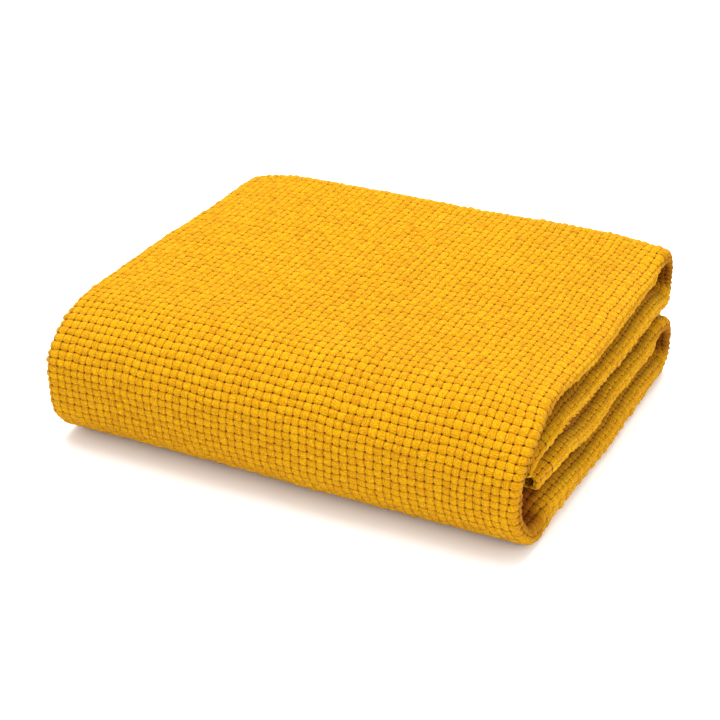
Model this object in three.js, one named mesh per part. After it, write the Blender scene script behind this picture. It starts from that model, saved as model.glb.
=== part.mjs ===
import * as THREE from 'three';

// A throw blanket folded into a flat block: the cloth is first folded lengthwise into a band of four
// layers, then both ends of the band are brought to the middle and the band is closed like a book.
// Millimetres, +Z up. The origin is under the middle of the block, on the surface that it rests on.
// +X is the smooth fold that closes each band, -X is the side with the long hems, -Y is the front,
// where the whole band wraps round from top to bottom.

// ---- sizes that can be set by themselves ----
const WIDTH = 389;
const DEPTH = 341;
const CLOTH_THICKNESS = 6.3;
const LAYER_GAP = 1.2;
const WRAP_TOP_INSIDE_RADIUS = 26;
const WRAP_FOOT_INSIDE_RADIUS = 10;
const WRAP_BULGE = 8.3;
const FRONT_DROP = 10;
const INNER_FOLD_RECESS = 14;
const OUTER_EDGE_INSET = 2;
const INNER_EDGE_INSET = 6;
const HEM_WIDTH = 18;
const HEM_PRESS = 1.3;
const END_CLEARANCE = 3;
const THREAD = 0.6;
const SEAM_INSET = 4;
const JOIN_GAP = 0.3;

// ---- steps round the curves ----
const FOLD_STEPS = 8;
const INNER_FOLD_STEPS = 4;
const REAR_STEPS = 8;
const WRAP_STEPS = 6;
const THREAD_SIDES = 5;

// ---- sizes that follow from them ----
const PITCH = CLOTH_THICKNESS + LAYER_GAP;
const BAND = 4 * PITCH;
const HEIGHT = 4 * BAND - LAYER_GAP;
// How far each of the four layers lies from the middle of its band, from the outermost to the innermost.
const OFFSET_A = 1.5 * PITCH;
const OFFSET_B = 0.5 * PITCH;
const OFFSET_C = -OFFSET_B;
const OFFSET_D = -OFFSET_A;
// The middle height of the four bands, from the top one down.
const [TOP_LEVEL, UPPER_LEVEL, LOWER_LEVEL, FLOOR_LEVEL] = [3.5, 2.5, 1.5, 0.5]
  .map((bands) => bands * BAND - LAYER_GAP / 2);
const REAR_FOLD_RADIUS = BAND / 2;
const WRAP_TOP_RADIUS = WRAP_TOP_INSIDE_RADIUS + BAND / 2;
const WRAP_FOOT_RADIUS = WRAP_FOOT_INSIDE_RADIUS + BAND / 2;
const HEM_THICKNESS = CLOTH_THICKNESS - HEM_PRESS;
const REAR_FOLD_Y = DEPTH / 2 - BAND + LAYER_GAP / 2;
const WRAP_Y = -DEPTH / 2 + WRAP_BULGE + BAND / 2 - LAYER_GAP / 2;
const WRAP_TOP = { u: WRAP_Y + WRAP_TOP_RADIUS, v: TOP_LEVEL - WRAP_TOP_RADIUS };
const WRAP_FOOT = { u: WRAP_Y + WRAP_FOOT_RADIUS, v: FLOOR_LEVEL + WRAP_FOOT_RADIUS };
const SMOOTH_FOLD_X = WIDTH / 2 - OFFSET_A - CLOTH_THICKNESS / 2;
const HEM_SIDE_FOLD_X = -WIDTH / 2 + PITCH / 2 + CLOTH_THICKNESS / 2;
const INNER_FOLD_X = SMOOTH_FOLD_X - INNER_FOLD_RECESS;
const OUTER_EDGE_X = -WIDTH / 2 + OUTER_EDGE_INSET;
const INNER_EDGE_X = -WIDTH / 2 + INNER_EDGE_INSET;
// Along Y, twice the gap between pieces, because the ends slant.
const END_JOIN_GAP = 2 * JOIN_GAP;
const SEAM_OFFSET = HEM_THICKNESS / 2 + JOIN_GAP + THREAD / 2;

const clamp01 = (value) => Math.min(Math.max(value, 0), 1);

// ---- lines in a plane: points (u, v), each with a unit normal (nu, nv) ----

function arcPoints(centre, radius, from, to, steps, side = 1) {
  return Array.from({ length: steps + 1 }, (_, i) => {
    const angle = from + ((to - from) * i) / steps;
    const [cos, sin] = [Math.cos(angle), Math.sin(angle)];
    return { u: centre.u + radius * cos, v: centre.v + radius * sin, nu: side * cos, nv: side * sin };
  });
}

// The cloth's middle line across a band, in (x, offset), from the outer edge to the inner edge.
// inset is how far the line starts and ends from the two long edges of the cloth.
function sectionLine(inset) {
  const right = Math.PI / 2;
  const smoothFold = { u: SMOOTH_FOLD_X, v: 0 };
  const innerFold = { u: INNER_FOLD_X, v: 0 };
  const hemSideFold = { u: HEM_SIDE_FOLD_X, v: PITCH };
  return [
    { u: OUTER_EDGE_X + inset, v: OFFSET_D, nu: 0, nv: -1 },
    ...arcPoints(smoothFold, OFFSET_A, -right, right, FOLD_STEPS),
    ...arcPoints(hemSideFold, PITCH / 2, right, 3 * right, INNER_FOLD_STEPS),
    ...arcPoints(innerFold, PITCH / 2, right, -right, INNER_FOLD_STEPS, -1),
    { u: INNER_EDGE_X + inset, v: OFFSET_C, nu: 0, nv: 1 },
  ];
}

// A closed outline of the given thickness round a line.
function thicken(line, thickness) {
  const shifted = (amount) => line.map((p) => ({ u: p.u + amount * p.nu, v: p.v + amount * p.nv }));
  return [...shifted(thickness / 2), ...shifted(-thickness / 2).reverse()];
}

function rectangle(fromX, toX, offset, thickness) {
  const [low, high] = [offset - thickness / 2, offset + thickness / 2];
  return [{ u: fromX, v: low }, { u: toX, v: low }, { u: toX, v: high }, { u: fromX, v: high }];
}

function threadOutline(x, offset) {
  return arcPoints({ u: x, v: offset }, THREAD / 2, 0, 2 * Math.PI, THREAD_SIDES).slice(0, -1);
}

// ---- the band's route, as stations that place a section point (x, offset) in space ----

// How far forward the cloth's ends can lie inside the front wrap at a height, as a place along Y. The
// parabolas stay just behind the wrap's round inner face.
function insideWrapY(z) {
  const above = Math.max(z - WRAP_TOP.v, 0) / WRAP_TOP_INSIDE_RADIUS;
  const below = Math.max(WRAP_FOOT.v - z, 0) / WRAP_FOOT_INSIDE_RADIUS;
  const behindTop = WRAP_TOP_INSIDE_RADIUS * above ** 2;
  const behindFoot = WRAP_FOOT_INSIDE_RADIUS * below ** 2;
  return WRAP_Y + BAND / 2 + Math.max(behindTop, behindFoot);
}

// A station in the cloth's end, at a distance behind the cut edge. The edge follows the wrap's inner face.
function endStation(level, outward, inset) {
  return (x, offset) => {
    const z = level + outward * offset;
    return new THREE.Vector3(x, insideWrapY(z) + END_CLEARANCE + inset, z);
  };
}

function station(point) {
  return (x, offset) => new THREE.Vector3(x, point.u + offset * point.nu, point.v + offset * point.nv);
}

// From the upper free end, back, over, round the front, back along the floor, over to the lower free end.
function bandStations(endInset) {
  const right = Math.PI / 2;
  const upperRear = { u: REAR_FOLD_Y, v: (TOP_LEVEL + UPPER_LEVEL) / 2 };
  const lowerRear = { u: REAR_FOLD_Y, v: (LOWER_LEVEL + FLOOR_LEVEL) / 2 };
  const route = [
    ...arcPoints(upperRear, REAR_FOLD_RADIUS, -right, right, REAR_STEPS),
    ...arcPoints(WRAP_TOP, WRAP_TOP_RADIUS, right, 2 * right, WRAP_STEPS),
    ...arcPoints(WRAP_FOOT, WRAP_FOOT_RADIUS, 2 * right, 3 * right, WRAP_STEPS),
    { u: WRAP_TOP.u, v: FLOOR_LEVEL, nu: 0, nv: -1 },
    ...arcPoints(lowerRear, REAR_FOLD_RADIUS, -right, right, REAR_STEPS),
  ];
  return [
    endStation(UPPER_LEVEL, -1, endInset),
    ...route.map(station),
    endStation(LOWER_LEVEL, 1, endInset),
  ];
}

// The block as it lies: lower towards the front, and the front wrap swelling out between top and floor.
function settle(point) {
  const forward = clamp01((REAR_FOLD_Y - point.y) / (REAR_FOLD_Y - WRAP_Y));
  const z = point.z * (1 - (FRONT_DROP / HEIGHT) * forward);
  const front = clamp01((WRAP_TOP.u - point.y) / (WRAP_TOP_RADIUS + BAND / 2 - LAYER_GAP / 2));
  const y = point.y - WRAP_BULGE * front * Math.sin(Math.PI * clamp01(z / HEIGHT));
  return new THREE.Vector3(point.x, y, z);
}

// ---- solids ----

function signedVolume(points, index) {
  let volume = 0;
  for (let i = 0; i < index.length; i += 3) {
    const [a, b, c] = [points[index[i]], points[index[i + 1]], points[index[i + 2]]];
    volume += a.dot(b.clone().cross(c)) / 6;
  }
  return volume;
}

// One closed body through rings of equal length. flatRing is a ring in its plane, for the two end faces.
function loft(rings, flatRing) {
  const count = flatRing.length;
  const points = rings.flat().map(settle);
  const index = [];
  for (let i = 0; i + 1 < rings.length; i += 1) {
    for (let j = 0; j < count; j += 1) {
      const next = (j + 1) % count;
      const [a, b, c, d] = [i * count + j, i * count + next, (i + 1) * count + next, (i + 1) * count + j];
      index.push(a, b, c, a, c, d);
    }
  }
  const contour = flatRing.map((p) => new THREE.Vector2(p.u, p.v));
  const last = (rings.length - 1) * count;
  for (const [a, b, c] of THREE.ShapeUtils.triangulateShape(contour, [])) {
    index.push(c, b, a, last + a, last + b, last + c);
  }
  if (signedVolume(points, index) < 0) index.reverse();
  const geometry = new THREE.BufferGeometry();
  geometry.setAttribute('position', new THREE.Float32BufferAttribute(points.flatMap((p) => p.toArray()), 3));
  geometry.setIndex(index);
  geometry.computeVertexNormals();
  return geometry;
}

function alongBand(outline, stations) {
  return loft(stations.map((place) => outline.map((p) => place(p.u, p.v))), outline);
}

// A thread that lies on the hidden face of an end hem and crosses the band from long edge to long edge.
function acrossBand(level, outward) {
  const place = endStation(level, outward, HEM_WIDTH - SEAM_INSET);
  const circle = threadOutline(0, 0);
  const rings = sectionLine(SEAM_INSET).map((p) => circle.map((c) => {
    const away = c.u - SEAM_OFFSET;
    const middle = place(p.u + p.nu * away, p.v + p.nv * away);
    return middle.add(new THREE.Vector3(0, c.v, 0));
  }));
  return loft(rings, circle);
}

// ---- finishes and pieces ----

const wovenCotton = new THREE.MeshStandardMaterial({ color: 0xf0ae1c, roughness: 0.9, metalness: 0 });
const hemCotton = new THREE.MeshStandardMaterial({ color: 0xe6a318, roughness: 0.92, metalness: 0 });
const cottonThread = new THREE.MeshStandardMaterial({ color: 0xdc9a1a, roughness: 0.7, metalness: 0 });

const blanket = new THREE.Group();

function addPiece(name, geometry, material) {
  const mesh = new THREE.Mesh(geometry, material);
  mesh.name = name;
  blanket.add(mesh);
}

function addPanel() {
  const outline = thicken(sectionLine(HEM_WIDTH + JOIN_GAP), CLOTH_THICKNESS);
  addPiece('woven_panel', alongBand(outline, bandStations(HEM_WIDTH + END_JOIN_GAP)), wovenCotton);
}

function addLongHem(place, edgeX, offset) {
  const stations = bandStations(HEM_WIDTH + END_JOIN_GAP);
  const hem = rectangle(edgeX, edgeX + HEM_WIDTH, offset, HEM_THICKNESS);
  const seam = threadOutline(edgeX + HEM_WIDTH - SEAM_INSET, offset + SEAM_OFFSET);
  addPiece(`side_hem_${place}`, alongBand(hem, stations), hemCotton);
  addPiece(`side_seam_${place}`, alongBand(seam, stations), cottonThread);
}

function addEndHem(place, level, outward) {
  const outline = thicken(sectionLine(0), HEM_THICKNESS);
  const stations = [0, HEM_WIDTH].map((inset) => endStation(level, outward, inset));
  addPiece(`end_hem_${place}`, alongBand(outline, stations), hemCotton);
  addPiece(`end_seam_${place}`, acrossBand(level, outward), cottonThread);
}

addPanel();
addLongHem('outer', OUTER_EDGE_X, OFFSET_D);
addLongHem('inner', INNER_EDGE_X, OFFSET_C);
addEndHem('upper', UPPER_LEVEL, -1);
addEndHem('lower', LOWER_LEVEL, 1);

export default blanket;
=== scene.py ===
"""The folded throw blanket: one woven cloth, its four hems and their stitches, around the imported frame.

The cloth is folded lengthwise into a band of four layers, a to d from the outside in. The band runs in
the (y, z) plane from its upper free end to the rear, over to the top, round the front, back along the
floor and over to its lower free end. Everything is in metres.
"""
import math

import bpy
import numpy as np
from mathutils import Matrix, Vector


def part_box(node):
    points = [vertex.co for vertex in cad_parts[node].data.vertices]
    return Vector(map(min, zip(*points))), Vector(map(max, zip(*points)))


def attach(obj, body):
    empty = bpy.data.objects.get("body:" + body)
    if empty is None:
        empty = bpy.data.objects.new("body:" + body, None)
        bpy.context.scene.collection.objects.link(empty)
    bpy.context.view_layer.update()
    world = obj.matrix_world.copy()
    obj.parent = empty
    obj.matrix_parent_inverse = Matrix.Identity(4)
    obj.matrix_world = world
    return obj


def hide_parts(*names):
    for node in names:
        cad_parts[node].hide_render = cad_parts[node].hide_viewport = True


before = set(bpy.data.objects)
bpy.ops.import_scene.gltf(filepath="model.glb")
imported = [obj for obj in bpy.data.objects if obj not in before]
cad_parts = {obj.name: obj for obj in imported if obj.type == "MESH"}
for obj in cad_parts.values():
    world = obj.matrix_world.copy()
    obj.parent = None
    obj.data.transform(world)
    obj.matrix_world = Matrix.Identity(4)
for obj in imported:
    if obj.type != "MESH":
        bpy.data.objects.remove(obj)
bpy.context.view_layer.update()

# ---- sizes: the block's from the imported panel, the folds' as in the frame's own design ----
LOW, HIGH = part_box("woven_panel")
WIDTH, DEPTH, HEIGHT = HIGH - LOW
LAYER_GAP = 0.0012
WRAP_TOP_INSIDE_RADIUS = 0.026
WRAP_FOOT_INSIDE_RADIUS = 0.010
WRAP_BULGE = 0.0083
FRONT_DROP = 0.010
HEM_WIDTH = 0.018
HEM_PRESS = 0.0013
OUTER_EDGE_INSET = 0.002
INNER_EDGE_INSET = 0.006
END_CLEARANCE = 0.003
JOIN_GAP = 0.0003
SEAM_INSET = 0.004

PITCH = (HEIGHT + LAYER_GAP) / 16
CLOTH = PITCH - LAYER_GAP
BAND = 4 * PITCH
OFFSET_A, OFFSET_B, OFFSET_C, OFFSET_D = 1.5 * PITCH, 0.5 * PITCH, -0.5 * PITCH, -1.5 * PITCH
TOP, UPPER, LOWER, FLOOR = (bands * BAND - LAYER_GAP / 2 for bands in (3.5, 2.5, 1.5, 0.5))
REAR_Y = DEPTH / 2 - BAND + LAYER_GAP / 2
REAR_RADIUS = BAND / 2
WRAP_Y = -DEPTH / 2 + WRAP_BULGE + BAND / 2 - LAYER_GAP / 2
WRAP_TOP_RADIUS = WRAP_TOP_INSIDE_RADIUS + BAND / 2
WRAP_FOOT_RADIUS = WRAP_FOOT_INSIDE_RADIUS + BAND / 2
WRAP_TOP_Y, WRAP_TOP_Z = WRAP_Y + WRAP_TOP_RADIUS, TOP - WRAP_TOP_RADIUS
WRAP_FOOT_Y, WRAP_FOOT_Z = WRAP_Y + WRAP_FOOT_RADIUS, FLOOR + WRAP_FOOT_RADIUS
SMOOTH_X = WIDTH / 2 - OFFSET_A - CLOTH / 2
HEM_SIDE_X = -WIDTH / 2 + PITCH / 2 + CLOTH / 2
OUTER_EDGE_X = -WIDTH / 2 + OUTER_EDGE_INSET
INNER_EDGE_X = -WIDTH / 2 + INNER_EDGE_INSET
HEM_THICKNESS = CLOTH - HEM_PRESS
END_INSET = HEM_WIDTH + 2 * JOIN_GAP

# ---- the open shape of a bend: a thin lip with a hollow behind it, the inner layers pulled in ----
LIP_DEPTH = 0.034
LIP_SAG_FRONT = 0.005
LIP_SAG_REAR = 0.0018
INNER_RECESS = 0.014
INNER_RECESS_AT_BENDS = 0.056
OPEN_AFTER = 0.045
REAR_OPENING = 0.030
WRAP_OPEN_AFTER = 0.050
WRAP_OPEN_BEFORE = 0.008
WRAP_OPENING = 0.110
WRAP_CLOSING = 0.030

# ---- how the folded block has settled. A nose is the smooth fold's roll, at the right ----
NOSE_REACH = 0.05
FOLD_REACH = 0.03
FOLD_FADE = 0.035
NOSE_SAG = 0.003
NOSE_PINCH = 0.0075
NOSE_LIFT = 0.006
NOSE_INSET = 0.004
FRONT_LIFT = 0.011
FRONT_LIFT_TOP = 0.72
FRONT_LIFT_END_Y = -0.02
WRAP_FADE = 0.06
REAR_FADE = 0.05
RIM_INSET = 0.004
END_REACH = 0.014
END_REACH_WIDTH = 0.027
END_PRESS_LOW = 0.0025
END_PRESS_HIGH = 0.006
FOOT_TUCK = 0.004
EDGE_DROOP = 0.003
EDGE_DROOP_WIDTH = 0.045
REAR_CROWN = 0.002
REAR_CROWN_START_Y = -0.05
CROWN_EDGE = 0.06
CORNER_RADIUS_LEFT = 0.032
CORNER_DEPTH = 0.012
CORNER_RADIUS_RIGHT = 0.012
CORNER_RADIUS_RIGHT_TOP = 0.028
CORNER_OVERHANG = 1.2
UNEVEN_SIDES = 0.0007
UNEVEN_FRONT = 0.0006
UNEVEN_TOP = 0.0006

# ---- the weave, with its lattice's steps to a cell ----
CELLS_ACROSS = 60
STEPS = 6
HEM_STEPS = 4
YARN_LIFT = 0.0012
YARN_CROWN = 0.0020
YARN_ROUNDNESS = 2.3
DRIFT = 0.05
JITTER = 0.075
HEM_RELIEF = 0.55
FLAT_COVER = 0.0009
PROUD = 0.0003
TABLE = 512

# ---- where painted shade darkens the cloth's colour towards a hollow or a crevice. CREVICE_TURN is an angle round the fold ----
LIP_SHADE = 0.014
LIP_SHADE_FADE = 0.018
CREVICE_TURN = 0.35
CREVICE_FADE = 0.02
CREVICE_REACH = 0.1

STITCH_LENGTH = 0.0036
STITCH_SPACING = 0.0052
STITCH_RADIUS = 0.0005
STITCH_SEAT = 0.2 * STITCH_RADIUS


def smooth(value):
    """A soft step: 0 up to 0, 1 from 1 on."""
    value = np.clip(value, 0, 1)
    return value * value * (3 - 2 * value)


def inside_wrap_y(z):
    """How far forward the cloth's ends can lie inside the front wrap at a height."""
    above = np.maximum(z - WRAP_TOP_Z, 0) / WRAP_TOP_INSIDE_RADIUS
    below = np.maximum(WRAP_FOOT_Z - z, 0) / WRAP_FOOT_INSIDE_RADIUS
    behind = np.maximum(WRAP_TOP_INSIDE_RADIUS * above**2, WRAP_FOOT_INSIDE_RADIUS * below**2)
    return WRAP_Y + BAND / 2 + behind


END_Y = float(inside_wrap_y(UPPER - OFFSET_A)) + END_CLEARANCE + END_INSET


# ---- the band's route, measured along the outer face of layer a ----
def line_part(y_from, y_to, z):
    """A level stretch. Where it runs forward the band's outer face is up, and where it runs back, down."""
    return {"length": abs(y_to - y_from), "y": (y_from, y_to), "z": (z, z), "out": np.sign(y_from - y_to)}


def arc_part(y, z, radius, start, sweep):
    """A bend round (y, z), with the band's middle at a radius."""
    outer = radius + OFFSET_A + CLOTH / 2
    return {"length": outer * sweep, "centre": (y, z), "radius": radius, "start": start, "sweep": sweep}


RIGHT = math.pi / 2
ROUTE = [
    # the upper free end, back to the upper loop at the rear, and the top band to the front
    line_part(END_Y, REAR_Y, UPPER),
    arc_part(REAR_Y, (TOP + UPPER) / 2, REAR_RADIUS, -RIGHT, 2 * RIGHT),
    line_part(REAR_Y, WRAP_TOP_Y, TOP),
    # the wrap at the front
    arc_part(WRAP_TOP_Y, WRAP_TOP_Z, WRAP_TOP_RADIUS, RIGHT, RIGHT),
    {"length": WRAP_TOP_Z - WRAP_FOOT_Z, "y": (WRAP_Y, WRAP_Y), "z": (WRAP_TOP_Z, WRAP_FOOT_Z), "out": 0},
    arc_part(WRAP_FOOT_Y, WRAP_FOOT_Z, WRAP_FOOT_RADIUS, 2 * RIGHT, RIGHT),
    # the floor band, the lower loop at the rear, and forward to the lower free end
    line_part(WRAP_FOOT_Y, REAR_Y, FLOOR),
    arc_part(REAR_Y, (LOWER + FLOOR) / 2, REAR_RADIUS, -RIGHT, 2 * RIGHT),
    line_part(REAR_Y, END_Y, LOWER),
]
STARTS = np.concatenate([[0], np.cumsum([part["length"] for part in ROUTE])])
ROUTE_LENGTH = float(STARTS[-1])
# Each bend's open stretch: from where to where, and how far it takes to open before and to close after.
OPEN_STRETCHES = [
    (STARTS[1] + OPEN_AFTER, STARTS[2], REAR_OPENING, REAR_OPENING),
    (STARTS[3] + WRAP_OPEN_AFTER, STARTS[6] - WRAP_OPEN_BEFORE, WRAP_OPENING, WRAP_CLOSING),
    (STARTS[7] + OPEN_AFTER, STARTS[8], REAR_OPENING, REAR_OPENING),
]


def along_route(distance):
    """Where the band's middle lies at each distance, the way out of the bends, how much of the free end's
    slant is left there, and how open the band's smooth fold is, from 0 to 1."""
    distance = np.asarray(distance, float)
    where = np.clip(np.searchsorted(STARTS, distance, side="right") - 1, 0, len(ROUTE) - 1)
    y, z, out_y, out_z, slant = (np.zeros_like(distance) for _ in range(5))
    for i, part in enumerate(ROUTE):
        here = where == i
        share = (distance[here] - STARTS[i]) / part["length"]
        if "sweep" in part:
            angle = part["start"] + part["sweep"] * share
            out_y[here], out_z[here] = np.cos(angle), np.sin(angle)
            y[here] = part["centre"][0] + part["radius"] * np.cos(angle)
            z[here] = part["centre"][1] + part["radius"] * np.sin(angle)
        else:
            y[here] = part["y"][0] + (part["y"][1] - part["y"][0]) * share
            z[here] = part["z"][0] + (part["z"][1] - part["z"][0]) * share
            out_y[here], out_z[here] = (0, part["out"]) if part["out"] else (-1, 0)
            if i in (0, len(ROUTE) - 1):
                slant[here] = share if i else 1 - share
    openness = np.zeros_like(distance)
    for first, last, opening, closing in OPEN_STRETCHES:
        outside = np.maximum((first - distance) / opening, (distance - last) / closing)
        openness = np.maximum(openness, 1 - smooth(outside))
    return y, z, out_y, out_z, slant, openness


# ---- the cloth's middle line across the band, measured from the outer hem ----
OUTER_START_X = OUTER_EDGE_X + HEM_WIDTH + JOIN_GAP
INNER_START_X = INNER_EDGE_X + HEM_WIDTH + JOIN_GAP
SECTION_ENDS = np.cumsum([
    SMOOTH_X - OUTER_START_X,  # layer d, to the right
    math.pi * OFFSET_A,  # the smooth fold's roll, or nose
    SMOOTH_X - HEM_SIDE_X,  # layer a, back to the left
    math.pi * PITCH / 2,  # the fold above the hems
    SMOOTH_X - INNER_RECESS - HEM_SIDE_X,  # layer b, to the right
    math.pi * PITCH / 2,  # the fold inside the smooth one
    SMOOTH_X - INNER_RECESS - INNER_START_X,  # layer c, back to the inner hem
])
D_END, NOSE_END, A_END, HEM_FOLD_END, B_END, INNER_FOLD_END, SECTION_LENGTH = map(float, SECTION_ENDS)


def inner_half(along, recess):
    """Layers b and c and the fold between them, for a given recess of that fold."""
    fold_x = SMOOTH_X - recess
    turn = RIGHT - (along - B_END) / (PITCH / 2)
    b_x = HEM_SIDE_X + (along - HEM_FOLD_END) / (B_END - HEM_FOLD_END) * (fold_x - HEM_SIDE_X)
    c_share = (along - INNER_FOLD_END) / (SECTION_LENGTH - INNER_FOLD_END)
    c_x = fold_x - c_share * (fold_x - INNER_START_X)
    in_b, in_fold = along < B_END, along < INNER_FOLD_END
    x = np.where(in_b, b_x, np.where(in_fold, fold_x + PITCH / 2 * np.cos(turn), c_x))
    n = np.where(in_b, OFFSET_B, np.where(in_fold, PITCH / 2 * np.sin(turn), OFFSET_C))
    return x, n


def section_shape(along, is_open):
    """(x, offset) along the section: a full round fold on the flats, a lip with a hollow at the bends."""
    x, n = inner_half(along, INNER_RECESS_AT_BENDS if is_open else INNER_RECESS)
    turn = RIGHT + (along - A_END) / (PITCH / 2)
    x = np.where(along < HEM_FOLD_END, HEM_SIDE_X + PITCH / 2 * np.cos(turn), x)
    n = np.where(along < HEM_FOLD_END, PITCH + PITCH / 2 * np.sin(turn), n)
    x = np.where(along < A_END, SMOOTH_X - (along - NOSE_END), x)
    n = np.where(along < A_END, OFFSET_A, n)
    if is_open:
        lip_x, lip_end = SMOOTH_X + PITCH, NOSE_END - PITCH
        lip_start = lip_end - math.pi * PITCH / 2
        wall_start = D_END - LIP_DEPTH
        turn = (along - lip_start) / (PITCH / 2) - RIGHT
        x = np.where(along < lip_end, lip_x + PITCH / 2 * np.cos(turn), x)
        n = np.where(along < lip_end, PITCH + PITCH / 2 * np.sin(turn), n)
        share = (along - wall_start) / (lip_start - wall_start)
        x = np.where(along < lip_start, SMOOTH_X - LIP_DEPTH + share * (LIP_DEPTH + PITCH), x)
        n = np.where(along < lip_start, OFFSET_D + 2 * PITCH * smooth(share), n)
    else:
        wall_start = D_END
        turn = (along - D_END) / OFFSET_A - RIGHT
        x = np.where(along < NOSE_END, SMOOTH_X + OFFSET_A * np.cos(turn), x)
        n = np.where(along < NOSE_END, OFFSET_A * np.sin(turn), n)
    x = np.where(along < wall_start, OUTER_START_X + along, x)
    n = np.where(along < wall_start, OFFSET_D, n)
    return x, n


TANGENT_STEP = 0.0002


def across_band(along, openness, lift):
    """Points of a face of the cloth. lift is how far it lies from the middle line, outer face first."""
    def middle(at):
        closed_x, closed_n = section_shape(at, False)
        open_x, open_n = section_shape(at, True)
        return closed_x + openness * (open_x - closed_x), closed_n + openness * (open_n - closed_n)

    x, n = middle(along)
    x_before, n_before = middle(along - TANGENT_STEP)
    x_after, n_after = middle(along + TANGENT_STEP)
    tangent_x, tangent_n = x_after - x_before, n_after - n_before
    size = np.hypot(tangent_x, tangent_n)
    return x + lift * tangent_n / size, n - lift * tangent_x / size


# ---- the block as it lies ----
def round_corner(x, y, side, radius, depth=0):
    """Rounds the rear corner on one side in plan: the square in the corner goes into a quarter disc.

    depth is how far before the rearmost point the square ends."""
    a = np.clip(1 - (WIDTH / 2 - side * x) / radius, 0, CORNER_OVERHANG)
    b = np.clip(1 - (DEPTH / 2 - depth - y) / radius, 0, CORNER_OVERHANG)
    pull_x = a * (1 - np.sqrt(1 - np.minimum(b, 1)**2 / 2)) * radius
    pull_y = b * (1 - np.sqrt(1 - np.minimum(a, 1)**2 / 2)) * radius
    return x - side * pull_x, y - pull_y


def settle_folds(x, y, z):
    """The rolls stand up between the bends, the back swells a little and the left edge droops."""
    height = np.clip(z / HEIGHT, 0, 1)
    near_nose = smooth((x - SMOOTH_X + NOSE_REACH) / NOSE_REACH)
    behind_wrap = smooth((y - WRAP_Y) / WRAP_FADE)
    before_rear = smooth((REAR_Y + 0.015 - y) / REAR_FADE)
    inner_bands = (0.8 + 0.4 * height) * (1 - (2 * height - 1)**4)
    z = z + NOSE_LIFT * near_nose * behind_wrap * before_rear * inner_bands
    by_wrap = smooth((y - WRAP_Y - 0.004) / 0.015) * smooth((FRONT_LIFT_END_Y - y) / 0.08)
    z = z + FRONT_LIFT * near_nose * by_wrap * np.sin(math.pi * np.clip(height / FRONT_LIFT_TOP, 0, 1))
    off_edges = smooth((WIDTH / 2 - np.abs(x)) / CROWN_EDGE)
    z = z + REAR_CROWN * off_edges * smooth((y - REAR_CROWN_START_Y) / 0.15) * height**2
    z = z - EDGE_DROOP * smooth((EDGE_DROOP_WIDTH - WIDTH / 2 - x) / EDGE_DROOP_WIDTH) * height**2
    rim = RIM_INSET * (1 - behind_wrap) * np.sin(math.pi * height)
    x = x - near_nose * (NOSE_INSET * behind_wrap * height**2 + rim)
    return x, z


def settle_front(x, y, z):
    """The block is lower towards the front, where the wrap swells out and is tucked in at the foot."""
    forward = np.clip((REAR_Y - y) / (REAR_Y - WRAP_Y), 0, 1)
    z = z * (1 - FRONT_DROP / HEIGHT * forward)
    front = np.clip((WRAP_TOP_Y - y) / (WRAP_TOP_RADIUS + BAND / 2 - LAYER_GAP / 2), 0, 1)
    height = np.clip(z / HEIGHT, 0, 1)
    y = y - WRAP_BULGE * front * np.sin(math.pi * height)
    y = y + FOOT_TUCK * front * (1 - height)**2 * (0.5 + x / WIDTH)
    return y, z, front, height


def settle(x, y, z):
    """Puts the straight block's points where the soft, folded cloth has them."""
    height = np.clip(z / HEIGHT, 0, 1)
    radius = CORNER_RADIUS_RIGHT + (CORNER_RADIUS_RIGHT_TOP - CORNER_RADIUS_RIGHT) * height**3
    x, z = settle_folds(x, y, z)
    x, y = round_corner(x, y, -1, CORNER_RADIUS_LEFT, CORNER_DEPTH)
    x, y = round_corner(x, y, 1, radius)
    y, z, front, height = settle_front(x, y, z)
    wave = np.sin(27 * x + 1.3) * np.sin(20 * y + 0.7) + 0.6 * np.sin(44 * x - 31 * y + 2.1)
    sway = np.sin(33 * y + 9 * height + 0.4) + 0.5 * np.sin(71 * y - 14 * height + 1.9)
    swell = np.sin(24 * x + 5 * height) + 0.5 * np.sin(57 * x - 6 * height + 0.8)
    side = smooth(np.abs(x) / (WIDTH / 2))
    return (
        x + UNEVEN_SIDES * np.sign(x) * side * sway,
        y - UNEVEN_FRONT * front * swell,
        np.maximum(z + UNEVEN_TOP * height * wave, 0),
    )


def end_shift(x, z):
    """How far a free end moves, so that its slanted edge follows the inside of the wrap."""
    near_nose = smooth((x - SMOOTH_X + 0.016) / END_REACH_WIDTH)
    reach = END_REACH * near_nose * smooth((z - HEIGHT / 2) / 0.01)
    above = np.clip((z - WRAP_TOP_Z) / WRAP_TOP_INSIDE_RADIUS, 0, 1)
    press = (END_PRESS_LOW + END_PRESS_HIGH * above**2) * (1 - (2 * x / WIDTH)**2)
    return inside_wrap_y(z) + END_CLEARANCE + END_INSET - END_Y - reach - press


def in_space(x, n, route):
    """Places section points (x, offset) where along_route found the band's middle."""
    y, z, out_y, out_z, slant, openness = route
    at_fold = smooth((x - SMOOTH_X + FOLD_REACH) / FOLD_FADE)
    nose = at_fold * (1 - openness)
    upward = out_z * n / OFFSET_A
    x = x - NOSE_SAG * nose * upward
    n = n - out_z * NOSE_PINCH * nose * np.clip(upward, 0, 1)
    to_front = np.clip((REAR_Y - y) / (REAR_Y - WRAP_TOP_Y), 0, 1)
    lip_sag = LIP_SAG_REAR + (LIP_SAG_FRONT - LIP_SAG_REAR) * to_front
    n = n - lip_sag * at_fold * openness * np.clip(out_z, 0, 1)**2
    place_y, place_z = y + n * out_y, z + n * out_z
    place_y = place_y + slant * np.where(slant > 0, end_shift(x, place_z), 0)
    return np.stack(settle(x, place_y, place_z), axis=-1)


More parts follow.
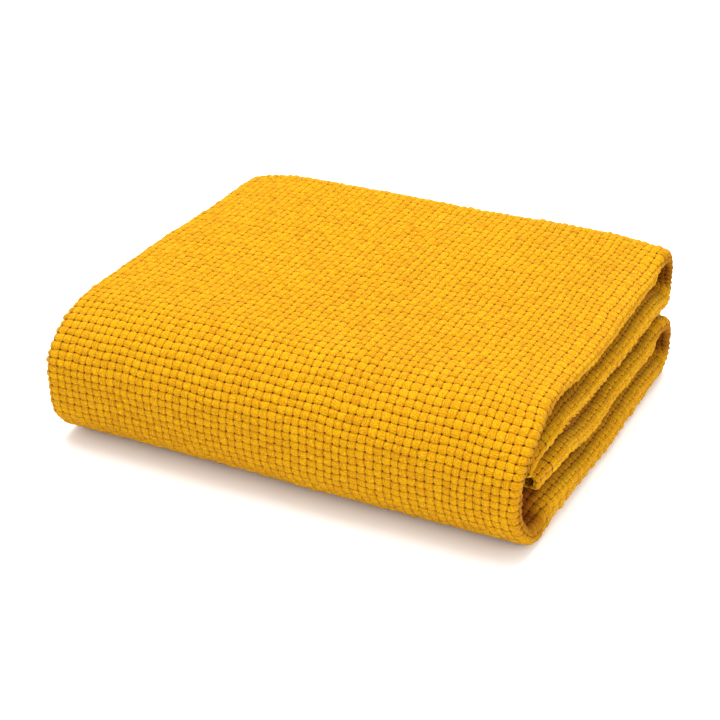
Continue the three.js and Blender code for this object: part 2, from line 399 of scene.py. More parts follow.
# ---- the weave's relief ----
ROUTE_CELLS = round(ROUTE_LENGTH / (WIDTH / CELLS_ACROSS))
ROUTE_PITCH = ROUTE_LENGTH / ROUTE_CELLS
SECTION_PITCH = WIDTH / CELLS_ACROSS


def between_corners(table, u, v):
    """A table of values at the cells' corners, blended smoothly over each cell."""
    column, row = np.floor(u).astype(int), np.floor(v).astype(int)
    across, along = smooth(u - column), smooth(v - row)
    column, column_after = column % TABLE, (column + 1) % TABLE
    row, row_after = row % TABLE, (row + 1) % TABLE
    here = table[column, row] * (1 - across) + table[column_after, row] * across
    there = table[column, row_after] * (1 - across) + table[column_after, row_after] * across
    return here * (1 - along) + there * along


def wander(u, v):
    """The yarns' gentle drift at lattice point (u, v), in metres across and along the band."""
    jitter = np.random.default_rng(11).uniform(-JITTER, JITTER, (2, TABLE, TABLE))
    across = DRIFT * np.sin(0.83 * v + 0.21 * u) + DRIFT * np.sin(0.31 * v - 0.9 * u + 1.0)
    along = DRIFT * np.sin(0.77 * u - 0.17 * v + 2.0) + DRIFT * np.sin(0.29 * u + 1.1 * v)
    across = across + between_corners(jitter[0], u, v)
    along = along + between_corners(jitter[1], u, v)
    calm = smooth(v / 3) * smooth((ROUTE_CELLS - v) / 3) * SECTION_PITCH
    return across * calm, along * calm


def weave_height(u, v):
    """Plain weave of thick round yarns, one cell wide: 0 in the pits between four crossings."""
    random = np.random.default_rng(7)
    column, row = np.floor(u).astype(int), np.floor(v).astype(int)
    du, dv = u - column - 0.5, v - row - 0.5
    lift_table = random.uniform(0.6, 1.4, (TABLE, TABLE))
    crown_table = random.uniform(0.85, 1.15, (2, TABLE))
    lift = YARN_LIFT * lift_table[column % TABLE, row % TABLE]
    over = 1 - 2 * ((column + row) % 2)

    def yarn(across, share):
        roundness = (1 - np.abs(2 * across)**YARN_ROUNDNESS).clip(0)
        return YARN_CROWN * share * roundness**(1 / YARN_ROUNDNESS)

    warp = lift * over * np.cos(math.pi * dv) + yarn(du, crown_table[0, column % TABLE])
    weft = -lift * over * np.cos(math.pi * du) + yarn(dv, crown_table[1, row % TABLE])
    return np.maximum(warp, weft)


# ---- meshes ----
class Shell:
    """Faces by their number of corners, each with its place in the piece's bake layout."""

    def __init__(self):
        self.faces, self.layout = [], []

    def add(self, faces, layout):
        self.faces.append(faces)
        self.layout.append(np.broadcast_to(layout, (*faces.shape, 2)))


def make_object(name, vertices, shell, cells=None):
    """A mesh object with its faces outward, its weave cells and its bake layout."""
    mesh = bpy.data.meshes.new(name)
    corners = np.concatenate([faces.ravel() for faces in shell.faces]).astype(np.int32)
    totals = np.concatenate([np.full(len(faces), faces.shape[1]) for faces in shell.faces])
    starts = np.concatenate([[0], np.cumsum(totals)[:-1]])
    layout = np.concatenate([places.reshape(-1, 2) for places in shell.layout])
    mesh.vertices.add(len(vertices))
    mesh.vertices.foreach_set("co", np.asarray(vertices, np.float32).ravel())
    mesh.loops.add(len(corners))
    mesh.loops.foreach_set("vertex_index", corners)
    mesh.polygons.add(len(totals))
    mesh.polygons.foreach_set("loop_start", starts.astype(np.int32))
    mesh.polygons.foreach_set("loop_total", totals.astype(np.int32))
    if cells is not None:
        mesh.uv_layers.new(name="weave").data.foreach_set("uv", cells[corners].astype(np.float32).ravel())
    mesh.uv_layers.new(name="OFBake").data.foreach_set("uv", layout.astype(np.float32).ravel())
    mesh.update(calc_edges=True)
    if volume_inside(vertices, shell.faces) < 0:
        mesh.flip_normals()
    mesh.polygons.foreach_set("use_smooth", np.ones(len(mesh.polygons), bool))
    piece = bpy.data.objects.new(name, mesh)
    bpy.context.scene.collection.objects.link(piece)
    return piece


def volume_inside(vertices, polygons):
    """Six times the signed volume of a closed body."""
    volume = 0.0
    for p in polygons:
        first = vertices[p[:, 0]]
        for k in range(1, p.shape[1] - 1):
            volume += np.einsum("ij,ij->", first, np.cross(vertices[p[:, k]], vertices[p[:, k + 1]]))
    return volume


class Lattice:
    """Faces over lattice lines, in blocks that keep every few lines and share their border vertices."""

    def __init__(self, rows, columns):
        self.used = np.zeros((rows, columns), bool)
        self.blocks = []

    def block(self, rows, columns, row_step=1, column_step=1):
        """Takes in the lines from rows[0] to rows[1] and columns[0] to columns[1], each so many lines."""
        self.used[rows[0]:rows[1] + 1:row_step, columns[0]:columns[1] + 1:column_step] = True
        self.blocks.append((rows, columns, row_step, column_step))

    def number(self, first):
        """Numbers the vertices in use, after the last block."""
        self.index = np.full(self.used.shape, -1)
        self.index[self.used] = first + np.arange(self.used.sum())

    def faces(self):
        """Arrays of polygons, by how many corners they have."""
        by_size = {}
        for rows, columns, row_step, column_step in self.blocks:
            r = np.arange(rows[0], rows[1], row_step)[:, None]
            c = np.arange(columns[0], columns[1], column_step)[None, :]
            inner = np.ones((r.size, c.size), bool)
            if row_step > 1 or column_step > 1:
                inner[[0, -1], :] = False
                inner[:, [0, -1]] = False
            quads = [self.index[r, c], self.index[r, c + column_step],
                     self.index[r + row_step, c + column_step], self.index[r + row_step, c]]
            by_size.setdefault(4, []).append(np.stack([q[inner] for q in quads], axis=1))
            for i, j in zip(*np.nonzero(~inner)):
                ring = self.ring(r[i, 0], c[0, j], row_step, column_step)
                by_size.setdefault(len(ring), []).append(ring[None, :])
        return [np.concatenate(found) for found in by_size.values()]

    def ring(self, r, c, row_step, column_step):
        """The numbered vertices round one large face."""
        low = self.index[r, c:c + column_step]
        right = self.index[r:r + row_step, c + column_step]
        high = self.index[r + row_step, c + column_step:c:-1]
        left = self.index[r + row_step:r:-1, c]
        ring = np.concatenate([low, right, high, left])
        return ring[ring >= 0]


def section_lines():
    """The lattice's lines across the band: coarse on hidden layers, fine where the cloth shows."""
    first = math.floor((D_END - LIP_DEPTH - 0.004) / SECTION_PITCH)
    last = math.ceil((HEM_FOLD_END + 0.006) / SECTION_PITCH)
    fine = np.arange(first * STEPS, last * STEPS + 1) * SECTION_PITCH / STEPS
    before = np.linspace(0, fine[0], 24)[:-1]
    after = np.concatenate([
        np.linspace(fine[-1], B_END - 0.02, 24)[1:],
        np.linspace(B_END - 0.01, INNER_FOLD_END + 0.01, 12),
        np.linspace(INNER_FOLD_END + 0.02, SECTION_LENGTH, 24),
    ])
    return np.concatenate([before, fine, after]), len(before), len(before) + len(fine) - 1


def weave_mask(u, v, hidden_runs, fine_u, hidden_u):
    """1 where the relief shows, fading to 0 within a cell of every coarse region."""
    mask = smooth(u - fine_u[0]) * smooth(fine_u[1] - u) * smooth(v) * smooth(ROUTE_CELLS - v)
    for start, end in hidden_runs:
        inside_rows = smooth(np.minimum(v - start, end - v) + 1)
        inside_columns = smooth(np.minimum(u - hidden_u[0], hidden_u[1] - u) + 1)
        mask = mask * (1 - inside_rows * inside_columns)
    return mask


def painted_crevice_shade(along, distance, openness):
    """How much painted shade the outer face gets in a hollow, or between two bands, at the smooth fold:
    from 0 to 1, growing with how deep it lies.
    """
    lip_start = NOSE_END - PITCH * (1 + RIGHT)
    in_hollow = smooth((lip_start + LIP_SHADE - along) / LIP_SHADE_FADE)
    turn = np.clip((along - D_END) / OFFSET_A, 0, 2 * RIGHT) - RIGHT
    inward = smooth((-turn - CREVICE_TURN) / (RIGHT - CREVICE_TURN))
    outward = smooth((turn - CREVICE_TURN) / (RIGHT - CREVICE_TURN))
    inner_band = smooth(np.maximum(STARTS[1] - distance, distance - STARTS[8]) / CREVICE_FADE + 1)
    closed = np.maximum(inward, outward * inner_band)
    from_fold = np.maximum(D_END - along, along - NOSE_END)
    return smooth(2 - 2 * from_fold / CREVICE_REACH) * (closed + openness * (in_hollow - closed))


def cloth_lattices(lines, fine_first, fine_last):
    """The outer face's lattice, the inner face's with its columns, and where hidden layers are coarse."""
    rows = ROUTE_CELLS * STEPS
    hidden_first = fine_first + math.ceil((NOSE_END + 0.012 - lines[fine_first]) / SECTION_PITCH) * STEPS
    hidden_last = fine_first + math.floor((A_END - 0.010 - lines[fine_first]) / SECTION_PITCH) * STEPS
    hidden = (hidden_first, hidden_last)
    row_of = [round(s / ROUTE_PITCH) * STEPS for s in STARTS]
    margin = 2 * STEPS
    hidden_rows = [(margin, row_of[1] - margin), (row_of[8] + margin, rows - margin)]
    floor_rows = (row_of[6] + STEPS, row_of[7] - STEPS)

    front = Lattice(rows + 1, len(lines))
    front.block((0, rows), (0, fine_first), STEPS)
    front.block((0, rows), (fine_last, len(lines) - 1), STEPS)
    front.block((0, rows), (fine_first, hidden_first))
    front.block((0, rows), (hidden_last, fine_last))
    front.block((0, hidden_rows[0][0]), hidden)
    front.block(hidden_rows[0], hidden, STEPS, STEPS)
    front.block((hidden_rows[0][1], floor_rows[0]), hidden)
    front.block(floor_rows, hidden, 2, 2)
    front.block((floor_rows[1], hidden_rows[1][0]), hidden)
    front.block(hidden_rows[1], hidden, STEPS, STEPS)
    front.block((hidden_rows[1][1], rows), hidden)
    front.number(0)

    back_columns = sorted(
        set(range(0, fine_first + 1)) | set(range(fine_first, hidden_first + 1, STEPS // 2))
        | set(range(hidden_first, hidden_last + 1, 2 * STEPS)) | {hidden_last}
        | set(range(hidden_last, fine_last + 1, STEPS // 2)) | set(range(fine_last, len(lines)))
    )
    back = Lattice(ROUTE_CELLS + 1, len(back_columns))
    back.block((0, ROUTE_CELLS), (0, len(back_columns) - 1))
    back.number(int(front.used.sum()))
    return front, back, back_columns, hidden, hidden_rows


def cloth_layout(lines, fine_first, fine_last):
    """The outer face's bake layout by column and row. The part that shows gets most of it."""
    places, shares = (0, lines[fine_first], lines[fine_last], SECTION_LENGTH), (0.0, 0.08, 0.84, 0.92)
    return np.interp(lines, places, shares), np.linspace(0, 0.98, ROUTE_CELLS * STEPS + 1)


def grid_of(across, along):
    """Pairs (across, along) over a whole grid, with the rows along."""
    return np.stack(np.broadcast_arrays(across[None, :], along[:, None]), axis=-1)


def add_long_walls(shell, front, back, layout_v):
    """The cloth's thickness along its long edges, between the outer and the inner face."""
    for edge, wall, turned in ((0, 0.992, slice(None)), (-1, 0.996, slice(None, None, -1))):
        f, b = front.index[::STEPS, edge], back.index[:, edge]
        low, high = layout_v[:-1:STEPS], layout_v[STEPS::STEPS]
        strip = np.stack([f[:-1], f[1:], b[1:], b[:-1]], axis=1)
        wall_u = np.broadcast_to([wall, wall, wall + 0.003, wall + 0.003], strip.shape)
        wall_map = np.stack([wall_u, np.stack([low, high, high, low], axis=1)], axis=-1)
        shell.add(strip[:, turned], wall_map[:, turned])


def add_end_walls(shell, front, back, back_columns, layout_u):
    """The cloth's thickness across its free ends. Each face takes in the outer face's finer steps."""
    for row, wall, turned in ((0, 0.983, slice(None, None, -1)), (-1, 0.991, slice(None))):
        for k, (c, c_next) in enumerate(zip(back_columns, back_columns[1:])):
            kept = front.index[row, c:c_next + 1]
            shown = kept >= 0
            face = np.concatenate([kept[shown], back.index[row, [k + 1, k]]])[None, :]
            face_u = np.concatenate([layout_u[c:c_next + 1][shown], layout_u[[c_next, c]]])
            face_v = np.concatenate([np.full(shown.sum(), wall), [wall + 0.006, wall + 0.006]])
            wall_map = np.stack([face_u, face_v], axis=-1)[None]
            shell.add(face[:, turned], wall_map[:, turned])


def build_cloth():
    """The whole panel as one closed sheet, with the weave's relief on its outer face."""
    lines, fine_first, fine_last = section_lines()
    front, back, back_columns, hidden, hidden_rows = cloth_lattices(lines, fine_first, fine_last)
    back_lines = lines[back_columns]

    u = lines[None, :] / SECTION_PITCH
    v = (np.arange(ROUTE_CELLS * STEPS + 1) / STEPS)[:, None]
    drift_across, drift_along = wander(u, v)
    fine_u = lines[[fine_first, fine_last]] / SECTION_PITCH
    hidden_runs = [(first / STEPS, last / STEPS) for first, last in hidden_rows]
    mask = weave_mask(u, v, hidden_runs, fine_u, lines[list(hidden)] / SECTION_PITCH)
    relief = weave_height(u, v) + CLOTH / 2 + PROUD - YARN_LIFT - YARN_CROWN
    lift = mask * relief + (1 - mask) * (CLOTH / 2 - FLAT_COVER)
    route = along_route(v * ROUTE_PITCH + drift_along * mask)
    x, n = across_band(lines[None, :] + drift_across * mask, route[5], lift)
    front_points = in_space(x, n, route)[front.used]
    # Painted shade for the outer face's vertices, from how deep they lie at the fold.
    front_painted_shade = painted_crevice_shade(lines[None, :], v * ROUTE_PITCH, route[5])[front.used]

    back_route = along_route(np.arange(ROUTE_CELLS + 1)[:, None] * ROUTE_PITCH)
    x, n = across_band(back_lines[None, :], back_route[5], -CLOTH / 2 + FLAT_COVER / 2)
    back_points = in_space(x, n, back_route)[back.used]

    layout_u, layout_v = cloth_layout(lines, fine_first, fine_last)
    back_grid = grid_of(0.925 + 0.065 * back_lines / SECTION_LENGTH, layout_v[::STEPS])
    layout = np.concatenate([grid_of(layout_u, layout_v)[front.used], back_grid.reshape(-1, 2)])
    shell = Shell()
    for faces in front.faces():
        shell.add(faces, layout[faces])
    for faces in back.faces():
        shell.add(faces[:, ::-1], layout[faces[:, ::-1]])
    add_long_walls(shell, front, back, layout_v)
    add_end_walls(shell, front, back, back_columns, layout_u)

    front_cells = grid_of(u[0], v[:, 0])[front.used]
    back_cells = grid_of(back_lines / SECTION_PITCH, np.arange(ROUTE_CELLS + 1.0))
    cells = np.concatenate([front_cells, back_cells.reshape(-1, 2)])
    cloth = make_object("woven_cloth", np.concatenate([front_points, back_points]), shell, cells)
    # Painted shade in the fold's hollows and crevices, kept per vertex on the outer face; the inner face
    # gets none.
    depth = np.concatenate([front_painted_shade, np.zeros(len(back_points))]).astype(np.float32)
    cloth.data.attributes.new("painted_crevice_shade", "FLOAT", "POINT").data.foreach_set("value", depth)
    return cloth


# ---- hems and stitches ----
def hem_profile(join, edge, sign):
    """Round a hem's section, from its join along one face, round the edge and back along the other.

    sign is the way from the join to the edge. Returns each point's place, its lift from the middle, the
    way out there in its two parts, and how many cells it lies along the section."""
    radius = HEM_THICKNESS / 2
    straight = abs(edge - join) - radius
    length = 2 * straight + math.pi * radius
    cells = round(length / SECTION_PITCH)
    run = np.linspace(0, length, cells * HEM_STEPS + 1)
    turn = np.clip((run - straight) / radius, 0, math.pi)
    back_again = np.maximum(run - straight - math.pi * radius, 0)
    reach = np.minimum(run, straight) - back_again + radius * np.sin(turn)
    return join + sign * reach, radius * np.cos(turn), np.sin(turn), np.cos(turn), run / length * cells


def hem_relief(u, v, join_cells):
    """The weave's relief on a hem, pressed flatter and fading at the join."""
    fade = smooth(u * 2) * smooth((join_cells - u) * 2)
    return HEM_RELIEF * fade * (weave_height(u, v) - YARN_LIFT - YARN_CROWN)


def closed_strip(name, points, cells):
    """A closed body from rings of points: the last ring's face and the first one's close its ends."""
    count, size = points.shape[:2]
    index = np.arange(count * size).reshape(count, size)
    here, there = index[:-1], index[1:]
    around = np.roll(np.arange(size), -1)
    quads = np.stack([here, here[:, around], there[:, around], there], axis=2).reshape(-1, 4)
    ring, step = np.meshgrid(np.arange(count - 1), np.arange(size), indexing="ij")
    layout_u = np.stack([step, step + 1, step + 1, step], axis=2) / size
    layout_v = np.stack([ring, ring, ring + 1, ring + 1], axis=2) / (count - 1) * 0.95
    shell = Shell()
    shell.add(quads, np.stack([layout_u, layout_v], axis=-1).reshape(-1, 4, 2))
    turn = np.arange(size) * 2 * math.pi / size
    cap = np.stack([0.02 * np.cos(turn), 0.02 * np.sin(turn)], axis=-1)
    shell.add(index[:1, ::-1], cap[None, ::-1] + (0.25, 0.975))
    shell.add(index[-1:], cap[None] + (0.75, 0.975))
    return make_object(name, points.reshape(-1, 3), shell, cells.reshape(-1, 2))


def build_side_hem(name, edge_x, offset):
    """A hem along a long edge: its section runs all the way along the route."""
    place, lift, out_x, out_n, run = hem_profile(edge_x + HEM_WIDTH, edge_x, -1)
    v = np.arange(ROUTE_CELLS * HEM_STEPS + 1)[:, None] / HEM_STEPS
    route = along_route(v * ROUTE_PITCH)
    relief = hem_relief(run[None, :], v, run[-1]) * smooth(v) * smooth(ROUTE_CELLS - v)
    x = place[None, :] - out_x[None, :] * relief
    n = offset + lift[None, :] + out_n[None, :] * relief
    cells = np.stack(np.broadcast_arrays(run[None, :], v), axis=-1)
    return closed_strip(name, in_space(x, n, route), cells)


def build_end_hem(name, upper):
    """A hem across the band at a free end, which follows the four layers from long edge to long edge."""
    join, edge, sign = (-2 * JOIN_GAP, -END_INSET, -1) if upper else (2 * JOIN_GAP, END_INSET, 1)
    start = 0 if upper else ROUTE_LENGTH
    place, lift, out_s, out_n, run = hem_profile(join, edge, sign)
    first, last = OUTER_EDGE_X - OUTER_START_X, SECTION_LENGTH + INNER_START_X - INNER_EDGE_X
    count = round((last - first) / SECTION_PITCH)
    u = np.arange(count * HEM_STEPS + 1)[:, None] / HEM_STEPS
    along = first + u / count * (last - first)
    relief = hem_relief(run[None, :], u, run[-1]) * smooth(u) * smooth(count - u)
    route = along_route(start + place[None, :] + sign * out_s[None, :] * relief)
    x, n = across_band(along, 0.0, lift[None, :] + out_n[None, :] * relief)
    cells = np.stack(np.broadcast_arrays(run[None, :], u), axis=-1)
    return closed_strip(name, in_space(x, n, route), cells)


def build_stitches(name, count, place):
    """Short rounded threads in a row. place turns (stitch number, along, across, up) into points."""
    along = np.array([-0.5, -0.42, -0.25, 0, 0.25, 0.42, 0.5]) * STITCH_LENGTH
    size = np.array([0.3, 0.75, 1, 1, 1, 0.75, 0.3]) * STITCH_RADIUS
    turn = np.arange(8) * math.pi / 4
    rings, sides = len(along), len(turn)
    across, up = size[:, None] * np.cos(turn), size[:, None] * np.sin(turn)
    number = np.arange(count)[:, None]
    points = place(number, np.repeat(along, sides)[None, :], across.reshape(1, -1), up.reshape(1, -1))
    index = np.arange(rings * sides).reshape(rings, sides)
    low, high = index[:-1], index[1:]
    around = np.roll(np.arange(sides), -1)
    quads = np.stack([low, low[:, around], high[:, around], high], axis=2).reshape(-1, 4)
    caps = np.stack([index[0][::-1], index[-1]])

    # Every stitch has its own square of the bake layout.
    columns = math.ceil(math.sqrt(count))
    corner = np.stack([number[:, 0] % columns, number[:, 0] // columns], axis=-1) / columns
    corner = corner[:, None, None, :]
    ring, side = np.meshgrid(np.arange(rings - 1), np.arange(sides), indexing="ij")
    quad_u = np.stack([side, side + 1, side + 1, side], axis=2) / sides * 0.9
    quad_v = np.stack([ring, ring, ring + 1, ring + 1], axis=2) / (rings - 1) * 0.6
    quad_map = np.stack([quad_u, quad_v], axis=-1).reshape(1, -1, 4, 2) / columns
    circle = np.stack([0.1 * np.cos(turn), 0.1 * np.sin(turn)], axis=-1)
    cap_map = np.stack([circle[::-1] + (0.2, 0.78), circle + (0.6, 0.78)])[None] / columns
    shift = (np.arange(count) * rings * sides)[:, None, None]
    shell = Shell()
    shell.add((quads[None] + shift).reshape(-1, 4), (quad_map + corner).reshape(-1, 4, 2))
    shell.add((caps[None] + shift).reshape(-1, sides), (cap_map + corner).reshape(-1, sides, 2))
    return make_object(name, points.reshape(-1, 3), shell)


def build_side_stitches(name, edge_x, offset):
    """The row of stitches along a side hem, on its outer face near the join."""
    count = int(ROUTE_LENGTH / STITCH_SPACING) - 1
    seam_x = edge_x + HEM_WIDTH - SEAM_INSET
    seam_n = offset + HEM_THICKNESS / 2 + STITCH_SEAT

    def place(number, along, across, up):
        route = along_route((number + 1) * STITCH_SPACING + along)
        return in_space(seam_x + across, seam_n + up, route)

    return build_stitches(name, count, place)


def build_end_stitches(name, upper):
    """The row of stitches along an end hem, on its inner face near the join."""
    seam = (-1 if upper else 1) * (END_INSET - HEM_WIDTH + SEAM_INSET) + (0 if upper else ROUTE_LENGTH)
    count = int(SECTION_LENGTH / STITCH_SPACING)

    def place(number, along, across, up):
        station = (number + 0.5) * STITCH_SPACING + along
        route = along_route(np.broadcast_to(seam + across, station.shape))
        x, n = across_band(station, 0.0, -HEM_THICKNESS / 2 - STITCH_SEAT + up)
        return in_space(x, n, route)

    return build_stitches(name, count, place)


# ---- materials ----
class Finish:
    """A material's nodes, with sums written as calls."""

    def __init__(self, name):
        self.material = bpy.data.materials.new(name)
        self.material.use_nodes = True
        self.tree = self.material.node_tree
        self.shader = self.tree.nodes["Principled BSDF"]

    def node(self, kind, **settings):
        """A new node with its settings."""
        made = self.tree.nodes.new(kind)
        for key, value in settings.items():
            setattr(made, key, value)
        return made

    def feed(self, socket, value):
        """Links another node's output to a socket, or sets a plain value on it."""
        if isinstance(value, bpy.types.NodeSocket):
            self.tree.links.new(value, socket)
        else:
            socket.default_value = value

    def math(self, operation, *values):
        made = self.node("ShaderNodeMath", operation=operation)
        for socket, value in zip(made.inputs, values):
            self.feed(socket, value)
        return made.outputs[0]

    def total(self, *weighted):
        """The sum of (value, weight) pairs."""
        result = 0.0
        for value, weight in weighted:
            result = self.math("MULTIPLY_ADD", value, weight, result)
        return result

    def ramp(self, value, low, high, to_low=0.0, to_high=1.0):
        """Takes low and high to to_low and to_high, with a soft step between them."""
        made = self.node("ShaderNodeMapRange", interpolation_type="SMOOTHSTEP")
        for socket, given in zip(made.inputs, (value, low, high, to_low, to_high)):
            self.feed(socket, given)
        return made.outputs[0]

    def vector(self, x, y, z=0.0):
        made = self.node("ShaderNodeCombineXYZ")
        for socket, value in zip(made.inputs, (x, y, z)):
            self.feed(socket, value)
        return made.outputs[0]

    def blend(self, factor, a, b):
        """Number a at factor 0 and b at 1."""
        made = self.node("ShaderNodeMix", data_type="FLOAT")
        for socket, value in zip((made.inputs[0], made.inputs[2], made.inputs[3]), (factor, a, b)):
            self.feed(socket, value)
        return made.outputs[0]

    def tint(self, factor, a, b, blend_type="MIX"):
        """Colour a at factor 0, and b mixed or multiplied in at 1."""
        made = self.node("ShaderNodeMix", data_type="RGBA", blend_type=blend_type)
        for socket, value in zip((made.inputs[0], made.inputs[6], made.inputs[7]), (factor, a, b)):
            self.feed(socket, value)
        return made.outputs[2]

    def noise(self, vector, scale, detail=2.0):
        made = self.node("ShaderNodeTexNoise")
        self.feed(made.inputs["Vector"], vector)
        self.feed(made.inputs["Scale"], scale)
        self.feed(made.inputs["Detail"], detail)
        return made.outputs["Fac"]


STRANDS = 3.6
FIBRES_ACROSS = 11.0
FIBRES_ALONG = 3.5
PATCHES_PER_METRE = 14.0
BUMP_HEIGHT = 0.0007
HEM_DEPTH = 0.12
BRIGHT_YARN = (0.54, 0.282, 0.0015, 1)
DEEP_YARN = (0.375, 0.142, 0.001, 1)
FLECK = (0.74, 0.47, 0.012, 1)
# Painted shade: the colours mixed in at the weave's grooves and pits.
GROOVE_SHADE = (0.19, 0.050, 0.001, 1)
PIT_SHADE = (0.06, 0.012, 0.0005, 1)
# Painted shade: the colour multiplied in where the cloth lies in a hollow or between two bands at the
# fold.
CREVICE_SHADE_TINT = (0.34, 0.17, 0.10, 1)
THREAD_DARK = (0.62, 0.26, 0.006, 1)
THREAD_LIGHT = (0.85, 0.42, 0.02, 1)
FLOOR_COLOUR = (0.88, 0.88, 0.88, 1)


def yarn_finish(name, depth):
    """Thick soft cotton yarns in plain weave, drawn in the weave's own cells, with painted shade in their
    pits and grooves and in the fold's crevices. depth is how much deeper the colour is than the cloth's."""
    f = Finish(name)

    # The place in the cell, across and along the yarn that lies on top there.
    split = f.node("ShaderNodeSeparateXYZ")
    f.feed(split.inputs[0], f.node("ShaderNodeUVMap", uv_map="weave").outputs[0])
    u, v = split.outputs[0], split.outputs[1]
    column, row = f.math("FLOOR", u), f.math("FLOOR", v)
    du = f.math("SUBTRACT", f.math("SUBTRACT", u, column), 0.5)
    dv = f.math("SUBTRACT", f.math("SUBTRACT", v, row), 0.5)
    odd = f.math("FLOORED_MODULO", f.math("ADD", column, row), 2.0)
    across, along = f.blend(odd, du, dv), f.blend(odd, dv, du)
    cell_noise = f.node("ShaderNodeTexWhiteNoise", noise_dimensions="2D")
    f.feed(cell_noise.inputs["Vector"], f.vector(column, row))
    chance = cell_noise.outputs["Value"]

    # Dark pits at the cell's corners, and grooves along its sides and ends: masks for painted shade, which
    # the bump below uses too.
    side_gap = f.math("SUBTRACT", 0.5, f.math("ABSOLUTE", across))
    end_gap = f.math("SUBTRACT", 0.5, f.math("ABSOLUTE", along))
    side_square, end_square = f.math("MULTIPLY", side_gap, side_gap), f.math("MULTIPLY", end_gap, end_gap)
    corner = f.math("SQRT", f.math("ADD", side_square, end_square))
    pit = f.ramp(corner, 0.05, 0.17, 1.0, 0.0)
    side = f.ramp(side_gap, 0.0, 0.12, 1.0, 0.0)
    end = f.ramp(end_gap, 0.0, 0.09, 1.0, 0.0)
    groove = f.math("MAXIMUM", f.math("MULTIPLY", side, 0.62), f.math("MULTIPLY", end, 0.5))

    # Twisted strands, loose fibres and slow changes over the cloth.
    lean = f.math("MULTIPLY_ADD", chance, 1.6, 0.2)
    twist = f.math("ADD", f.math("MULTIPLY", across, STRANDS), f.math("MULTIPLY", along, lean))
    strand = f.math("SINE", f.math("MULTIPLY", f.math("ADD", twist, chance), 2 * math.pi))
    fibre_u, fibre_v = f.math("MULTIPLY", across, FIBRES_ACROSS), f.math("MULTIPLY", along, FIBRES_ALONG)
    fibre_place = f.vector(fibre_u, fibre_v, f.math("MULTIPLY", chance, 60.0))
    fibres = f.math("SUBTRACT", f.noise(fibre_place, 1.0, 3.0), 0.5)
    place = f.node("ShaderNodeTexCoord").outputs["Object"]
    patches = f.math("SUBTRACT", f.noise(place, PATCHES_PER_METRE), 0.5)

    # The dye's tone, with bright flecks on it, and painted shade over it in the pits, grooves and
    # crevices.
    tone = f.total((strand, 0.20), (fibres, 2.4), (patches, 0.24), (chance, 0.30), (1.0, 0.42 - depth))
    yarn = f.tint(f.math("MINIMUM", f.math("MAXIMUM", tone, 0.0), 1.0), DEEP_YARN, BRIGHT_YARN)
    yarn = f.tint(f.ramp(fibres, 0.06, 0.30, 0.0, 0.6), yarn, FLECK)
    colour = f.tint(pit, f.tint(groove, yarn, GROOVE_SHADE), PIT_SHADE)
    # Painted shade: the colour darkens by the per-vertex amount in the fold's hollows and crevices.
    painted_fold_shade = f.node("ShaderNodeAttribute", attribute_name="painted_crevice_shade").outputs["Fac"]
    colour = f.tint(painted_fold_shade, colour, CREVICE_SHADE_TINT, "MULTIPLY")
    f.feed(f.shader.inputs["Base Color"], colour)
    f.feed(f.shader.inputs["Roughness"], 0.88)
    f.feed(f.shader.inputs["Specular IOR Level"], 0.07)
    f.feed(f.shader.inputs["Sheen Weight"], 0.03)
    f.feed(f.shader.inputs["Sheen Roughness"], 0.45)
    f.feed(f.shader.inputs["Sheen Tint"], (1.0, 0.85, 0.55, 1))

    height = f.total((strand, 0.16), (fibres, 1.6), (groove, -0.35), (pit, -0.8))
    bump = f.node("ShaderNodeBump")
    f.feed(bump.inputs["Strength"], 0.7)
    f.feed(bump.inputs["Distance"], BUMP_HEIGHT)
    f.feed(bump.inputs["Height"], height)
    f.feed(f.shader.inputs["Normal"], bump.outputs[0])
    return f.material


def thread_finish(name):
    """Sewing thread, a little unevenly dyed."""
    f = Finish(name)
    place = f.node("ShaderNodeTexCoord").outputs["Object"]
    shade = f.noise(place, 900.0)
    f.feed(f.shader.inputs["Base Color"], f.tint(shade, THREAD_DARK, THREAD_LIGHT))
    f.feed(f.shader.inputs["Roughness"], 0.6)
    return f.material


# ---- camera, lights and floor ----
CAMERA_AZIMUTH, CAMERA_ELEVATION = math.radians(27.15), math.radians(27.17)
CAMERA_DISTANCE = 1.2314
CAMERA_LENS = 78.4
CAMERA_AIM = Vector((-0.0038, -0.0173, 0.0464))
WORLD_STRENGTH = 1.2
KEY_PLACE, KEY_SIZE, KEY_POWER = (-0.3, 0.25, 1.6), 1.5, 42
FILL_PLACE, FILL_SIZE, FILL_POWER = (1.25, -1.15, 0.7), 1.4, 17
FLOOR_SIZE = 12


def add_camera():
    """The photograph's view: a long lens from the right front, looking down."""
    camera = bpy.data.objects.new("camera", bpy.data.cameras.new("camera"))
    back = Vector((
        math.sin(CAMERA_AZIMUTH) * math.cos(CAMERA_ELEVATION),
        -math.cos(CAMERA_AZIMUTH) * math.cos(CAMERA_ELEVATION),
        math.sin(CAMERA_ELEVATION),
    ))
    camera.location = CAMERA_AIM + back * CAMERA_DISTANCE
    camera.rotation_euler = (-back).to_track_quat("-Z", "Y").to_euler()
    camera.data.lens = CAMERA_LENS
    camera.data.sensor_width = 36
    bpy.context.scene.collection.objects.link(camera)
    bpy.context.scene.camera = camera


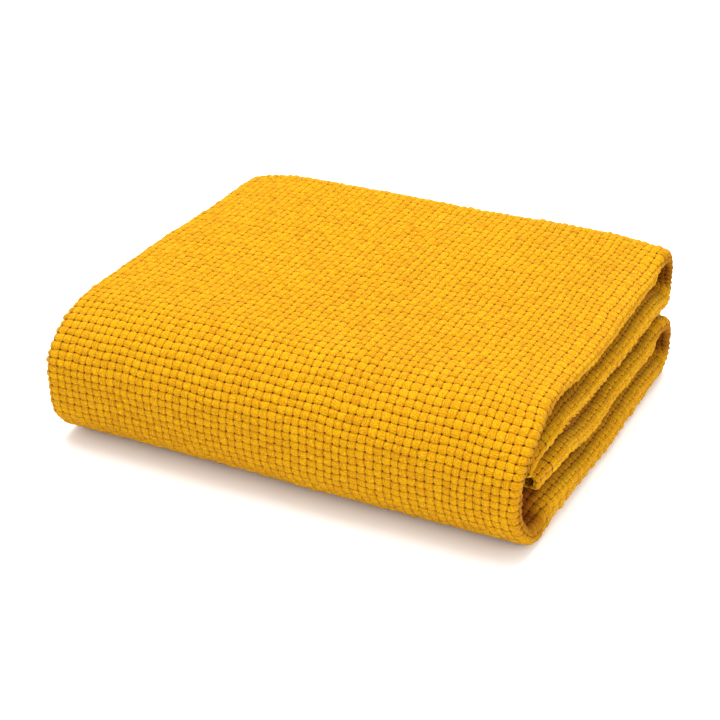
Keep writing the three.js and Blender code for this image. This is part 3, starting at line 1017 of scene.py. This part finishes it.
def add_area_light(name, place, size, power):
    """A square soft light that faces the block's middle."""
    light = bpy.data.lights.new(name, "AREA")
    light.size, light.energy = size, power
    lamp = bpy.data.objects.new(name, light)
    lamp.location = place
    lamp.rotation_euler = (Vector((0, 0, HEIGHT / 2)) - Vector(place)).to_track_quat("-Z", "Y").to_euler()
    bpy.context.scene.collection.objects.link(lamp)


def add_studio():
    """White surroundings, a soft light overhead, a fill from the right front, and a plain pale floor."""
    world = bpy.data.worlds.new("studio")
    world.use_nodes = True
    world.node_tree.nodes["Background"].inputs["Color"].default_value = (1, 1, 1, 1)
    world.node_tree.nodes["Background"].inputs["Strength"].default_value = WORLD_STRENGTH
    bpy.context.scene.world = world
    bpy.context.scene.view_settings.view_transform = "Standard"
    add_area_light("key_light", KEY_PLACE, KEY_SIZE, KEY_POWER)
    add_area_light("front_fill", FILL_PLACE, FILL_SIZE, FILL_POWER)
    bpy.ops.mesh.primitive_plane_add(size=FLOOR_SIZE)
    floor = bpy.context.object
    floor.name = "floor"
    material = bpy.data.materials.new("pale_floor")
    material.use_nodes = True
    shader = material.node_tree.nodes["Principled BSDF"]
    shader.inputs["Base Color"].default_value = FLOOR_COLOUR
    shader.inputs["Roughness"].default_value = 0.9
    floor.data.materials.append(material)


def give(piece, node, material):
    """Gives a piece its material and slot, hides the node that it replaces, and puts the piece on the
    part's one body.
    """
    piece.data.materials.append(material)
    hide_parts(node)
    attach(piece, "root")
    return piece


def main():
    add_camera()
    add_studio()
    woven, hem = yarn_finish("woven_cotton", 0.0), yarn_finish("hem_cotton", HEM_DEPTH)
    thread = thread_finish("seam_thread")
    cloth = give(build_cloth(), "woven_panel", woven)
    for place, edge_x, offset in (("outer", OUTER_EDGE_X, OFFSET_D), ("inner", INNER_EDGE_X, OFFSET_C)):
        strip = build_side_hem(f"side_hem_{place}_band", edge_x, offset)
        stitches = build_side_stitches(f"side_seam_{place}_stitches", edge_x, offset)
        give(strip, f"side_hem_{place}", hem)
        give(stitches, f"side_seam_{place}", thread)
    for place in ("upper", "lower"):
        strip = build_end_hem(f"end_hem_{place}_band", place == "upper")
        stitches = build_end_stitches(f"end_seam_{place}_stitches", place == "upper")
        give(strip, f"end_hem_{place}", hem)
        give(stitches, f"end_seam_{place}", thread)


main()
